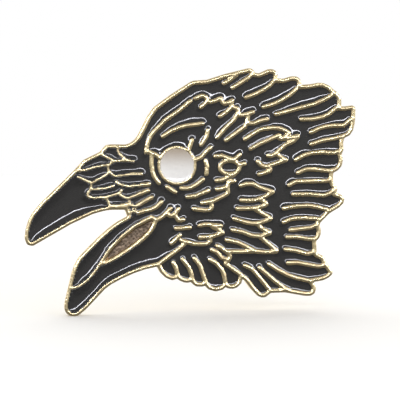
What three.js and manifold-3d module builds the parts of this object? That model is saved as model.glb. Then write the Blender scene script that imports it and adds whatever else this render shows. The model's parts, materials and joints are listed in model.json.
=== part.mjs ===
// Enamelled cap badge: a die-struck raven's head on two pin posts, held by two butterfly clutches.
// Millimetres. +X to the wearer's left (right as seen), +Y out of the back, +Z up. The origin is on
// the flat back face, midway between the two posts; the struck face looks along -Y.
import * as THREE from 'three';
import { mergeVertices } from 'three/addons/utils/BufferGeometryUtils.js';
import Module from 'manifold-3d';

const wasm = await Module();
wasm.setup();

// ---- driving dimensions ----
const FACE_WIDTH = 37.8; // tip of the upper beak to the farthest feather
const LINE_TOP = 1.5; // back face to the top of the raised lines
const RECESS_DEPTH = 0.5;
const ENAMEL_DIP = 0.14; // line tops to the dried enamel
const TONGUE_DEPTH = 0.34; // line tops to the stippled tongue
const LINE_WIDTH = 0.42;
const ENAMEL_GAP = 0.02; // enamel to metal
const CHORD_ERROR = 0.05; // farthest that a chord may lie from its drawn curve
const CAP_STEPS = 3; // chords around the end of a raised line
const EYE_STEPS = 28;
const LOOP_STEPS = 14;
const ROOT = 0.1; // how deep a line's prism runs into the plate
const SCALE = FACE_WIDTH / 37.8; // millimetres to one unit of the drawing
const FLOOR = LINE_TOP - RECESS_DEPTH; // back face to the bottom of the recesses
const ENAMEL_TOP = LINE_TOP - ENAMEL_DIP;
const TONGUE_FLOOR = LINE_TOP - TONGUE_DEPTH;
const EYE_RING = 0.34; // width of the raised ring around the eye

const SHEET = 0.35; // thickness of the clutch's stamped brass
const DISC_RADIUS = 5.7;
const RIM_HEIGHT = 0.95;
const CLOTH_GAP = 2.6; // back face to the clutch, filled by the cap's cloth

const POST_SPACING = 2 * DISC_RADIUS + 0.8; // leaves a slit between the two clutches
const POST_RADIUS = 0.55;
const POST_LENGTH = 8; // from the seat in the back face
const POST_FOOT_RADIUS = POST_RADIUS + 0.6;
const POST_FOOT_HEIGHT = 0.4;
const SEAT_DEPTH = 0.15; // how deep a post's foot is let into the back face
const POST_GROOVES = 3;
const BRAZE_RADIUS = POST_FOOT_RADIUS + 0.45;
const SOLDER_GAP = 0.02; // post foot to the braze around it
const BORE_RADIUS = POST_RADIUS + 0.2;

const WING_PIVOT = DISC_RADIUS - 2.7; // post axis to the line that a wing rocks on
const WING_REACH = DISC_RADIUS - 0.4; // post axis to the wing's tip
const WING_FLOOR = 1.1; // clutch face to the underside of the jaws
const WING_HEIGHT = 5.7; // clutch face to the wing's tip
const WING_HALF_WIDTH = 1.75;
const JAW_GAP = 0.12; // half the slit between the two jaws
const BEAD_HALF = 0.3; // half the width of the bead that a wing rocks on
const HOOD_HALF_LENGTH = WING_PIVOT - 0.4;
const HOOD_HALF_WIDTH = WING_HALF_WIDTH + 0.85;
const HOOD_HEIGHT = 3.3;
const HOOD_FOOT = 1.0; // length of the hood's crimped feet
const LEAF = 0.12; // thickness of the leaf spring under the jaws
const CLUTCH_GAP = 0.02; // between the clutch's own pieces
const POST_STEPS = 14;
const DISC_STEPS = 28;

// ---- the struck drawing: [x, z] points on the face, one list for each line ----

// The rim, lobe by lobe, clockwise from the tip of the upper beak.
const RIM = [
  [[-23.0, -7.15], [-23.2, -6.5], [-22.9, -5.0], [-22.2, -3.7], [-20.7, -2.1], [-19.3, -0.7], [-18.0, 0.5]],
  [[-18.0, 0.5], [-17.5, 1.1], [-16.6, 1.95], [-15.0, 2.7]],
  [[-15.0, 2.7], [-14.6, 3.2], [-14.1, 3.5], [-12.2, 3.5], [-11.1, 4.1], [-10.45, 5.0], [-10.0, 6.0],
    [-9.0, 7.65], [-7.7, 8.7], [-5.0, 10.5], [-4.2, 10.75], [-3.0, 10.85], [-1.2, 11.45], [1.4, 12.15],
    [2.1, 12.15], [2.3, 11.75]],
  [[2.3, 11.75], [3.0, 11.65], [4.1, 12.15], [4.7, 12.1], [4.95, 11.7], [4.85, 11.1]],
  [[4.85, 11.1], [5.9, 11.1], [6.9, 11.4], [7.5, 11.3], [7.75, 10.9], [7.7, 10.4]],
  [[7.7, 10.4], [9.0, 10.5], [10.1, 10.7], [10.9, 10.55], [11.6, 10.05], [12.0, 9.7]],
  [[12.0, 9.7], [12.4, 9.3], [12.52, 8.7], [12.4, 8.0]],
  [[12.4, 8.0], [13.1, 8.0], [14.1, 8.1], [14.18, 7.4], [14.1, 6.1], [13.7, 5.2], [12.9, 4.75]],
  [[12.9, 4.75], [12.72, 4.0], [12.8, 3.3], [12.55, 2.75]],
  [[12.55, 2.75], [12.72, 2.1], [12.6, 1.5], [12.2, 1.05], [11.6, 0.75]],
  [[11.6, 0.75], [11.52, -0.1], [11.75, -0.9], [12.05, -1.25], [11.95, -1.95]],
  [[11.95, -1.95], [12.7, -2.2], [12.9, -2.6], [12.5, -3.15], [11.3, -3.85], [10.7, -4.45], [10.05, -5.05]],
  [[10.05, -5.05], [9.95, -5.5], [10.12, -6.2], [9.95, -6.8], [9.55, -7.15]],
  [[9.55, -7.15], [9.6, -7.9], [9.65, -8.8], [10.5, -9.25], [10.78, -9.9]],
  [[10.78, -9.9], [11.45, -10.8], [11.4, -11.15], [10.6, -11.6], [9.1, -11.85]],
  [[9.1, -11.85], [9.5, -12.6], [9.45, -13.15], [8.9, -13.4], [7.6, -13.2], [6.1, -12.92], [4.35, -12.95]],
  [[4.35, -12.95], [3.75, -13.42], [3.1, -13.35], [2.3, -12.55], [1.6, -11.6], [0.95, -11.1]],
  [[0.95, -11.1], [0.75, -11.9], [0.2, -12.35], [-0.5, -12.35], [-0.88, -12.1]],
  [[-0.88, -12.1], [-1.3, -12.5], [-2.0, -12.65], [-2.7, -12.45], [-3.15, -11.95]],
  [[-3.15, -11.95], [-3.7, -12.1], [-4.3, -12.0], [-4.75, -11.5]],
  [[-4.75, -11.5], [-5.4, -11.62], [-6.0, -11.4], [-6.38, -11.1]],
  [[-6.38, -11.1], [-7.0, -11.3], [-7.8, -10.9], [-8.3, -10.3], [-8.6, -9.7]],
  [[-8.6, -9.7], [-10.4, -10.1], [-12.4, -10.85], [-14.5, -12.0], [-16.2, -13.75], [-17.4, -14.9],
    [-18.1, -15.15], [-18.75, -14.8], [-18.85, -14.0], [-18.4, -12.2],
    [-17.95, -10.3], [-17.3, -9.0], [-16.3, -8.0],
    [-15.0, -6.65], [-13.3, -5.25], [-11.75, -4.4]],
  [[-11.75, -4.4], [-11.95, -3.8], [-12.15, -3.3]],
  [[-12.15, -3.3], [-14.0, -3.3], [-15.8, -3.7], [-17.5, -4.4], [-19.5, -5.45], [-22.2, -7.0], [-22.65, -7.25],
    [-23.0, -7.15]],
];

// Scales between the beak and the face.
const SCALES = [
  [[-17.7, 0.75], [-16.8, 0.87], [-15.6, 1.23], [-14.1, 1.5], [-13.5, 1.87], [-12.2, 1.95], [-11.35, 1.88]],
  [[-14.15, 1.4], [-14.2, 0.8], [-13.4, 0.2], [-12.0, 0.38], [-10.4, 0.42]],
  [[-15.0, 2.6], [-14.3, 2.3], [-13.5, 1.9]],
  [[-13.1, 3.4], [-13.05, 2.75], [-12.3, 2.1]],
  [[-17.6, 0.15], [-16.1, -0.52], [-15.3, -0.12], [-14.3, 0.42], [-14.15, 0.8]],
  [[-16.1, -0.55], [-16.15, -1.2], [-15.5, -1.25], [-14.5, -1.15], [-13.55, -0.87]],
  [[-16.15, -1.2], [-16.55, -1.95], [-15.9, -2.2], [-14.6, -2.12], [-13.2, -1.78], [-12.7, -1.35]],
  [[-13.3, -0.35], [-13.1, -0.65], [-12.0, -0.95], [-10.8, -0.8], [-9.6, -0.7]],
  [[-13.0, -1.85], [-12.1, -2.27], [-11.2, -1.97], [-9.7, -1.38]],
  [[-15.0, -2.2], [-14.35, -2.35], [-14.1, -3.0], [-13.3, -3.08], [-11.9, -2.85]],
  [[-12.05, -3.2], [-11.75, -2.75]],
  [[-11.8, -3.05], [-11.1, -3.15], [-10.2, -2.6], [-9.3, -2.15]],
  [[-11.9, -3.95], [-11.35, -3.65], [-10.9, -3.95], [-10.1, -3.65], [-9.4, -3.55], [-8.7, -3.2], [-8.2, -2.68]],
  [[-9.4, -4.42], [-8.8, -4.68], [-8.1, -4.35], [-7.6, -3.8], [-7.2, -3.45]],
  [[-7.6, -4.05], [-7.1, -4.28], [-6.65, -4.0], [-6.3, -3.5]],
  [[-6.6, -4.3], [-6.3, -4.78], [-5.7, -4.7]],
];

// The open mouth: the edge of the tongue, its underside, and the hinge of the lower beak.
const MOUTH = [
  [[-15.2, -9.7], [-14.2, -8.05], [-12.6, -6.4], [-11.0, -5.2], [-9.4, -4.45]],
  [[-15.2, -9.7], [-13.8, -9.2], [-12.0, -8.1], [-10.4, -6.9], [-9.3, -5.75], [-8.85, -4.7]],
  [[-18.35, -12.3], [-17.5, -12.05], [-16.3, -11.15], [-15.2, -9.7]],
  [[-8.5, -9.65], [-7.3, -8.75], [-6.1, -7.9], [-5.55, -7.4]],
  [[-6.1, -6.45], [-6.7, -7.0], [-7.1, -7.4]],
];

// Forehead, crown and the lines around the eye.
const BROW = [
  [[-9.95, 2.75], [-9.85, 3.7], [-9.45, 4.7], [-8.7, 5.6], [-7.6, 6.65], [-6.2, 7.6], [-4.9, 8.7]],
  [[-4.4, 8.95], [-3.6, 9.3], [-3.15, 9.15]],
  [[-3.15, 9.15], [-2.85, 8.6], [-2.2, 8.68], [-1.45, 9.05]],
  [[-1.45, 9.05], [-1.15, 8.45], [-0.6, 8.5], [-0.1, 8.8]],
  [[-0.1, 8.8], [-0.2, 8.1], [0.5, 7.9]],
  [[0.5, 7.9], [0.7, 7.15], [1.4, 7.2], [2.35, 7.5]],
  [[-3.05, 8.6], [-3.75, 7.95]],
  [[-0.25, 7.95], [-0.8, 7.45], [-1.55, 6.95]],
  [[0.55, 7.35], [0.1, 6.6], [-0.9, 5.65], [-1.85, 4.55]],
  [[1.75, 7.0], [1.4, 5.9], [0.4, 5.2], [-0.85, 4.25]],
  [[1.6, 6.2], [2.4, 6.2], [3.3, 6.55], [4.0, 6.7]],
  [[1.35, 4.4], [2.1, 4.85], [2.9, 5.4], [3.9, 5.65], [5.2, 5.72], [6.15, 5.4], [6.5, 5.05], [5.9, 4.65]],
  [[2.0, 3.3], [2.8, 3.75], [4.0, 4.3], [5.4, 4.9]],
  [[5.4, 4.5], [6.4, 4.5], [7.6, 4.83]],
  [[7.6, 4.75], [7.0, 4.15], [6.2, 3.85], [5.3, 3.05], [4.6, 2.55], [4.05, 2.55]],
  [[5.1, 2.75], [5.6, 2.35], [6.2, 2.05]],
  [[6.2, 2.05], [5.0, 1.65], [3.9, 1.3], [3.2, 1.5], [2.85, 1.9]],
  [[4.1, 1.3], [4.35, 0.95], [4.1, 0.7], [3.0, 0.38]],
  [[-8.1, 4.65], [-7.0, 5.35], [-5.6, 5.85], [-3.5, 6.15]],
  [[-2.95, 5.4], [-3.05, 4.7], [-3.7, 3.7]],
  [[-5.15, 3.1], [-4.9, 3.7], [-4.72, 4.3]],
  [[-4.3, 2.1], [-3.7, 2.3], [-3.1, 3.0], [-2.6, 3.45]],
  [[-9.7, 2.95], [-8.9, 2.65], [-8.4, 2.2]],
  [[-9.3, 2.8], [-9.35, 1.4], [-9.1, 0.25], [-8.5, -0.6]],
  [[-3.2, 1.95], [-3.0, 1.3], [-3.1, 0.4]],
  [[-7.6, -0.98], [-7.1, -1.35], [-6.65, -1.6]],
  [[-6.0, -1.15], [-5.1, -1.15], [-4.3, -0.8], [-3.45, -0.15]],
  [[-5.3, -2.15], [-4.4, -2.05], [-3.7, -1.8], [-2.85, -1.45]],
];

// The broken lines of the cheek and throat.
const CHEEK = [
  [[-2.1, 2.45], [-1.3, 2.5], [0.0, 2.08], [0.8, 2.65]],
  [[-1.95, -0.32], [-1.2, -0.2], [-0.4, 0.1], [0.15, 0.35]],
  [[0.15, -0.35], [-0.5, -0.5], [-0.65, -1.1], [-0.6, -1.7], [-1.3, -2.15], [-2.4, -2.65], [-3.6, -2.85]],
  [[-1.9, -1.3], [-1.3, -1.22], [-0.7, -1.0]],
  [[-2.6, -2.75], [-2.45, -3.3], [-2.9, -3.65], [-4.55, -3.5]],
  [[-6.6, -5.7], [-5.7, -5.7], [-4.95, -5.62]],
  [[-6.0, -7.05], [-5.4, -7.2], [-4.6, -7.45], [-3.3, -7.5], [-2.65, -7.2], [-2.8, -6.7]],
  [[-3.85, -6.75], [-2.8, -6.7], [-1.85, -6.5], [-1.2, -6.25]],
  [[-1.2, -6.25], [-1.7, -5.85], [-2.4, -5.55]],
  [[-3.9, -5.4], [-3.2, -5.25], [-2.2, -5.38], [-1.35, -5.45]],
];

// The saw-toothed feathers down the neck.
const NECK = [
  [[0.85, -0.9], [1.5, -0.68], [2.4, -0.7], [3.1, -1.1], [4.65, -1.6]],
  [[4.65, -1.6], [3.6, -2.2], [2.3, -2.58], [0.9, -2.52]],
  [[3.1, -2.45], [3.75, -2.8], [3.75, -3.15], [2.6, -3.42], [1.5, -3.52], [0.45, -3.5]],
  [[2.6, -3.6], [3.4, -4.05], [4.4, -4.62]],
  [[4.4, -4.7], [3.2, -5.1], [2.2, -5.2], [1.2, -4.98], [0.1, -4.65]],
  [[2.75, -5.2], [3.3, -5.75], [4.3, -6.3]],
  [[4.3, -6.35], [3.2, -6.62], [2.2, -6.58], [1.1, -6.15], [-0.1, -5.92]],
  [[3.1, -6.7], [4.0, -7.5], [5.1, -8.35]],
  [[5.1, -8.45], [3.8, -8.5], [2.6, -8.38], [1.5, -7.8], [0.4, -7.3], [-0.8, -7.03]],
  [[2.4, -8.4], [0.4, -8.43], [-0.8, -8.35], [-1.3, -8.0], [-1.85, -7.7]],
  [[-2.5, -8.15], [-1.9, -8.4], [-1.3, -9.1], [-0.7, -9.25]],
  [[-0.75, -8.4], [-0.35, -8.9], [-0.55, -9.4], [-0.85, -9.8], [0.0, -10.35], [0.95, -11.05]],
];

// Feathers of the crown and the back of the neck: one rib under each, ending in the rim.
const RIBS = [
  [[-1.1, 10.7], [-0.3, 11.15], [0.4, 11.7]],
  [[-0.1, 10.2], [0.9, 10.85], [1.85, 11.45], [2.3, 11.85]],
  [[1.45, 9.12], [2.8, 9.65], [4.1, 10.4], [4.7, 11.0]],
  [[3.5, 8.07], [5.0, 8.55], [6.5, 9.4], [7.4, 10.2]],
  [[4.95, 7.25], [7.0, 7.8], [9.3, 8.4], [11.0, 9.15], [12.0, 9.8]],
  [[7.95, 6.72], [9.5, 6.78], [11.0, 7.2], [12.2, 8.1]],
  [[9.1, 5.2], [10.4, 5.8], [11.8, 6.02], [13.0, 6.05], [13.9, 6.8]],
  [[9.15, 3.85], [10.6, 4.33], [12.0, 4.55], [13.1, 4.9]],
  [[7.3, 2.05], [8.6, 2.7], [10.2, 2.95], [11.9, 2.87], [12.6, 3.1]],
  [[7.55, 0.55], [8.6, 0.98], [9.8, 0.98], [11.3, 0.8], [12.1, 1.0]],
  [[6.55, -0.85], [7.5, -0.4], [9.2, -0.36], [11.0, -0.36], [11.5, -0.1]],
  [[7.0, -1.9], [8.8, -1.88], [10.4, -2.05], [11.3, -1.85], [11.9, -1.4]],
  [[5.9, -3.52], [7.2, -3.28], [8.8, -3.18], [10.2, -3.42], [11.3, -3.75]],
  [[5.9, -5.1], [7.0, -4.68], [8.4, -4.62], [10.2, -4.75]],
  [[6.7, -6.0], [8.0, -5.85], [9.2, -5.72], [10.0, -5.3]],
  [[6.3, -6.82], [7.6, -6.78], [8.9, -7.06], [9.7, -7.0]],
  [[6.1, -8.2], [7.4, -8.38], [8.7, -8.75], [9.6, -8.5]],
  [[6.4, -9.8], [7.3, -9.73], [9.0, -10.0], [10.0, -10.22], [10.9, -10.1]],
  [[4.15, -9.85], [5.3, -10.6], [6.9, -11.35], [9.1, -11.9]],
  [[3.05, -10.25], [4.4, -11.45], [5.8, -12.5], [6.6, -12.9]],
  [[1.35, -10.0], [2.3, -10.5], [3.3, -11.7], [4.3, -12.85]],
  [[-2.7, -9.25], [-1.9, -9.75], [-1.15, -10.7], [-0.88, -12.0]],
  [[-4.5, -9.1], [-3.9, -9.85], [-3.45, -10.9], [-3.15, -11.9]],
  [[-5.85, -9.2], [-5.2, -9.95], [-4.8, -10.9], [-4.72, -11.4]],
  [[-6.9, -9.55], [-6.55, -10.2], [-6.38, -11.0]],
];

// The oval loop behind the eye and the eye itself: centre and half sizes. A tab stands on the loop's side.
const LOOP = { centre: [-0.4, 1.2], halfX: 0.94, halfZ: 0.57 };
const LOOP_TAB = [[0.8, 1.55], [1.35, 1.6]];
const EYE = { centre: [-6.45, 1.4], halfX: 1.86, halfZ: 1.86 };


// ---- solids ----

// Manifold solid of a closed three.js geometry.
function solid(geometry) {
  const bare = geometry.index ? geometry.toNonIndexed() : geometry.clone();
  bare.deleteAttribute('normal');
  bare.deleteAttribute('uv');
  const merged = mergeVertices(bare, 1e-4);
  return new wasm.Manifold(new wasm.Mesh({
    numProp: 3,
    vertProperties: Float32Array.from(merged.attributes.position.array),
    triVerts: Uint32Array.from(merged.index.array),
  }));
}

function union(solids) {
  return wasm.Manifold.union(solids);
}

function geometryOf(body) {
  const mesh = body.getMesh();
  const geometry = new THREE.BufferGeometry();
  geometry.setAttribute('position', new THREE.BufferAttribute(Float32Array.from(mesh.vertProperties), 3));
  geometry.setIndex(new THREE.BufferAttribute(Uint32Array.from(mesh.triVerts), 1));
  return geometry;
}

// The fewest of the points whose chords stay close to all of them.
function thinned(points) {
  const last = points.length - 1;
  const chord = new THREE.Line3(
    new THREE.Vector3(points[0].x, points[0].y, 0),
    new THREE.Vector3(points[last].x, points[last].y, 0),
  );
  const errors = points.map(({ x, y }) => {
    const point = new THREE.Vector3(x, y, 0);
    return chord.closestPointToPoint(point, true, new THREE.Vector3()).distanceTo(point);
  });
  const worst = errors.indexOf(Math.max(...errors));
  if (errors[worst] <= CHORD_ERROR) return [points[0], points[last]];
  return [...thinned(points.slice(0, worst + 1)), ...thinned(points.slice(worst)).slice(1)];
}

// Points along a smooth curve through a drawn line.
function curvePoints(line) {
  const points = line.map(([x, z]) => new THREE.Vector2(x, z).multiplyScalar(SCALE));
  return thinned(new THREE.SplineCurve(points).getPoints(8 * (points.length - 1)));
}

// Outline of a band of even width along points, with rounded or square ends.
function band(points, width, capSteps) {
  const half = width / 2;
  const last = points.length - 1;
  const left = [];
  const right = [];
  points.forEach((point, i) => {
    const before = i > 0 ? point.clone().sub(points[i - 1]).normalize() : null;
    const after = i < last ? points[i + 1].clone().sub(point).normalize() : null;
    const along = (before ?? after).clone().add(after ?? before).normalize();
    const spread = half / Math.max(0.5, along.dot(after ?? before));
    const side = new THREE.Vector2(-along.y, along.x).multiplyScalar(spread);
    left.push(point.clone().add(side));
    right.push(point.clone().sub(side));
  });
  const cap = (centre, start) => Array.from({ length: Math.max(capSteps - 1, 0) }, (_, i) => (
    start.clone().rotateAround(centre, -Math.PI * (i + 1) / capSteps)));
  return new THREE.Shape([
    ...left,
    ...cap(points[last], left[last]),
    ...right.reverse(),
    ...cap(points[0], right[last]),
  ]);
}

// Prism over a shape drawn on the face, from one height above the back to another.
function struck(shape, from, to) {
  const geometry = new THREE.ExtrudeGeometry(shape, { depth: to - from, bevelEnabled: false, steps: 1 });
  return solid(geometry.translate(0, 0, from).rotateX(Math.PI / 2));
}

// Upright oval prism; its centre is a point of the drawing, its half sizes are in millimetres.
function oval([x, z], halfX, halfZ, from, to, steps) {
  const edge = Array.from({ length: steps }, (_, i) => {
    const angle = 2 * Math.PI * i / steps;
    return new THREE.Vector2(x * SCALE + halfX * Math.cos(angle), z * SCALE + halfZ * Math.sin(angle));
  });
  return struck(new THREE.Shape(edge), from, to);
}

const rimCurves = RIM.map(curvePoints);
const lineCurves = [...SCALES, ...MOUTH, ...BROW, ...CHEEK, ...NECK, ...RIBS, LOOP_TAB].map(curvePoints);
const faceShape = new THREE.Shape(rimCurves.flatMap((run) => run.slice(0, -1)));

// Prisms along drawn curves, all equally wide.
function ribs(curves, width, from, to) {
  return curves.map((points) => struck(band(points, width, CAP_STEPS), from, to));
}

// A ring struck around an oval, standing wholly outside it.
function ring({ centre, halfX, halfZ }, width, margin, from, to, steps) {
  const inner = -margin;
  const outer = width + margin;
  return oval(centre, halfX * SCALE + outer, halfZ * SCALE + outer, from, to, steps)
    .subtract(oval(centre, halfX * SCALE + inner, halfZ * SCALE + inner, from - 1, to + 1, steps));
}

// Every raised line inside the rim, wider than struck by a margin on each side.
function raisedLines(margin, from, to) {
  return union([
    ...ribs(lineCurves, LINE_WIDTH + 2 * margin, from, to),
    ring(EYE, EYE_RING, margin, from, to, EYE_STEPS),
    ring(LOOP, LINE_WIDTH, margin, from, to, LOOP_STEPS),
  ]);
}

// The shallow round seat that a post is brazed into.
function seat(x) {
  const radius = BRAZE_RADIUS + SOLDER_GAP;
  const cutter = turned([[0, -SEAT_DEPTH], [radius, -SEAT_DEPTH], [radius, 1], [0, 1]], POST_STEPS);
  return solid(cutter.translate(x, 0, 0));
}

function tongue(from, to) {
  const [top, underside] = MOUTH.map(curvePoints);
  return struck(new THREE.Shape([...top.slice(1), ...underside.reverse()]), from, to);
}

function badgePlate() {
  return union([
    struck(faceShape, 0, FLOOR),
    ...ribs(rimCurves, LINE_WIDTH, 0, LINE_TOP),
    tongue(FLOOR - ROOT, TONGUE_FLOOR),
    raisedLines(0, FLOOR - ROOT, LINE_TOP),
  ]).subtract(union([seat(-POST_SPACING / 2), seat(POST_SPACING / 2)]));
}

// The enamel poured into every recess but the tongue's, in one piece for each recess.
function enamelPools() {
  const walls = union([
    ...ribs(rimCurves, LINE_WIDTH + 2 * ENAMEL_GAP, 0, LINE_TOP),
    raisedLines(ENAMEL_GAP, 0, LINE_TOP),
    tongue(0, LINE_TOP),
  ]);
  return struck(faceShape, FLOOR + ENAMEL_GAP, ENAMEL_TOP).subtract(walls).decompose();
}

function turned(profile, steps) {
  const points = [...profile, profile[0]].map(([radius, y]) => new THREE.Vector2(radius, y));
  return new THREE.LatheGeometry(points, steps);
}

function post() {
  const shaft = POST_RADIUS;
  const tip = POST_LENGTH - 1.5 * shaft;
  const grooves = Array.from({ length: POST_GROOVES }, (_, i) => {
    const y = tip - shaft * (2 * (POST_GROOVES - i) - 0.6);
    return [[shaft, y], [0.8 * shaft, y + 0.2 * shaft], [0.8 * shaft, y + 0.5 * shaft], [shaft, y + 0.7 * shaft]];
  }).flat();
  return turned([
    [0, 0],
    [POST_FOOT_RADIUS, 0],
    [POST_FOOT_RADIUS, POST_FOOT_HEIGHT / 2],
    [0.8 * POST_FOOT_RADIUS, POST_FOOT_HEIGHT],
    [shaft, POST_FOOT_HEIGHT + 0.1],
    ...grooves,
    [shaft, tip],
    [0.15 * shaft, POST_LENGTH],
    [0, POST_LENGTH],
  ], POST_STEPS);
}

function braze() {
  const inner = POST_FOOT_RADIUS + SOLDER_GAP;
  return turned([
    [inner, 0],
    [BRAZE_RADIUS, 0],
    [BRAZE_RADIUS, SEAT_DEPTH],
    [(inner + 2 * BRAZE_RADIUS) / 3, (2 * SEAT_DEPTH + POST_FOOT_HEIGHT) / 3],
    [inner, 0.9 * POST_FOOT_HEIGHT],
  ], POST_STEPS);
}

// A bar of one cross-section drawn across [x, y] and centred along Z.
function bar(shape, width) {
  return new THREE.ExtrudeGeometry(shape, { depth: width, bevelEnabled: false }).translate(0, 0, -width / 2);
}

function strip(path, thickness) {
  return band(path.map(([x, y]) => new THREE.Vector2(x, y)), thickness, 0);
}

function bored(body) {
  const drill = new THREE.CylinderGeometry(BORE_RADIUS, BORE_RADIUS, 4 * HOOD_HEIGHT, POST_STEPS);
  return geometryOf(body.subtract(solid(drill)));
}

function clutchDisc() {
  const lip = DISC_RADIUS - SHEET;
  const dish = solid(turned([
    [BORE_RADIUS, 0],
    [DISC_RADIUS - SHEET / 2, 0],
    [DISC_RADIUS, SHEET / 2],
    [DISC_RADIUS, RIM_HEIGHT],
    [lip, RIM_HEIGHT],
    [lip, 1.2 * SHEET],
    [lip - 0.2 * SHEET, SHEET],
    [BORE_RADIUS, SHEET],
  ], DISC_STEPS));
  const foot = SHEET / 2;
  const crest = WING_FLOOR - CLUTCH_GAP;
  const bead = (x) => solid(bar(new THREE.Shape([
    [x - BEAD_HALF, foot],
    [x + BEAD_HALF, foot],
    [x + BEAD_HALF, crest - BEAD_HALF],
    [x + BEAD_HALF / 3, crest],
    [x - BEAD_HALF / 3, crest],
    [x - BEAD_HALF, crest - BEAD_HALF],
  ].map(([u, y]) => new THREE.Vector2(u, y))), 2 * WING_HALF_WIDTH));
  return geometryOf(union([dish, bead(WING_PIVOT), bead(-WING_PIVOT)]));
}

// The bridge over the jaws, its two feet crimped flat on the disc.
function clutchHood() {
  const wall = HOOD_HALF_WIDTH;
  const foot = SHEET + CLUTCH_GAP + SHEET / 2;
  const roof = HOOD_HEIGHT - SHEET / 2;
  const bend = 1.5 * SHEET;
  const half = [[wall + HOOD_FOOT, foot], [wall, foot], [wall, roof - bend], [wall - bend, roof]];
  const path = [...half, ...half.toReversed().map(([x, y]) => [-x, y])];
  return bored(solid(bar(strip(path, SHEET), 2 * HOOD_HALF_LENGTH).rotateY(Math.PI / 2)));
}

function clutchSpring() {
  const low = SHEET + CLUTCH_GAP + LEAF / 2;
  const half = [[0.75 * WING_PIVOT, 0.75 * WING_FLOOR], [0.4 * WING_PIVOT, low + LEAF], [0.3 * WING_PIVOT, low]];
  const path = [...half, ...half.toReversed().map(([x, y]) => [-x, y])];
  return bored(solid(bar(strip(path, LEAF), WING_HALF_WIDTH)));
}

// One lever: a jaw notched around the post, the arm, and the finger wing.
function clutchWing() {
  const arm = WING_FLOOR + SHEET / 2;
  return bored(solid(bar(strip([
    [JAW_GAP, arm],
    [WING_PIVOT + BEAD_HALF / 2, arm],
    [WING_PIVOT + 2 * BEAD_HALF, arm + BEAD_HALF],
    [WING_REACH - SHEET, WING_HEIGHT - 2 * SHEET],
    [WING_REACH, WING_HEIGHT],
  ], SHEET), 2 * WING_HALF_WIDTH)));
}

// ---- assembly ----

const gold = new THREE.MeshStandardMaterial({ color: '#c9b27c', roughness: 0.28, metalness: 1 });
const brass = new THREE.MeshStandardMaterial({ color: '#c4a45a', roughness: 0.35, metalness: 1 });
const spring = new THREE.MeshStandardMaterial({ color: '#b8b2a0', roughness: 0.4, metalness: 1 });
const black = new THREE.MeshStandardMaterial({ color: '#262524', roughness: 0.12, metalness: 0 });
const white = new THREE.MeshStandardMaterial({ color: '#efeee6', roughness: 0.15, metalness: 0 });
const solder = new THREE.MeshStandardMaterial({ color: '#a89a72', roughness: 0.5, metalness: 1 });

// One point of the face inside each recess that holds enamel, and the enamel's colour.
const POOLS = {
  head_enamel: [[5, -6], black],
  upper_beak_enamel: [[-19.5, -3], black],
  nostril_enamel: [[-16, 1.6], black],
  brow_scale_enamel: [[-13.9, 2.8], black],
  cheek_enamel: [LOOP.centre, black],
  eye_enamel: [EYE.centre, white],
};

function piece(name, geometry, material) {
  const mesh = new THREE.Mesh(geometry, material);
  mesh.name = name;
  return mesh;
}

// The pool around a point of the face.
function poolAt(pools, [x, z]) {
  const probe = oval([x, z], 0.1, 0.1, FLOOR, LINE_TOP, 6);
  return pools.find((pool) => pool.intersect(probe).volume() > 0);
}

function clutch(side, x) {
  const group = new THREE.Group();
  group.position.set(x, CLOTH_GAP, 0);
  group.rotation.y = -Math.PI / 2;
  group.add(
    piece(`clutch_${side}_disc`, clutchDisc(), brass),
    piece(`clutch_${side}_hood`, clutchHood(), brass),
    piece(`clutch_${side}_spring`, clutchSpring(), spring),
    piece(`clutch_${side}_wing_upper`, clutchWing(), brass),
    piece(`clutch_${side}_wing_lower`, clutchWing().rotateY(Math.PI), brass),
  );
  return group;
}

const badge = new THREE.Group();
badge.add(piece('badge_plate', geometryOf(badgePlate()), gold));
const pools = enamelPools();
for (const [name, [point, material]] of Object.entries(POOLS)) {
  badge.add(piece(name, geometryOf(poolAt(pools, point)), material));
}
for (const [side, x] of [['left', -POST_SPACING / 2], ['right', POST_SPACING / 2]]) {
  badge.add(
    piece(`post_${side}`, post().translate(x, -SEAT_DEPTH, 0), brass),
    piece(`braze_${side}`, braze().translate(x, -SEAT_DEPTH, 0), solder),
    clutch(side, x),
  );
}

export default badge;
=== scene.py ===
"""Enamelled pin badge in the shape of a raven's head, with two butterfly clutches behind it."""
import json
import math

import bmesh
import bpy
import numpy as np
from mathutils import Matrix, Vector, noise
from mathutils.bvhtree import BVHTree


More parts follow.
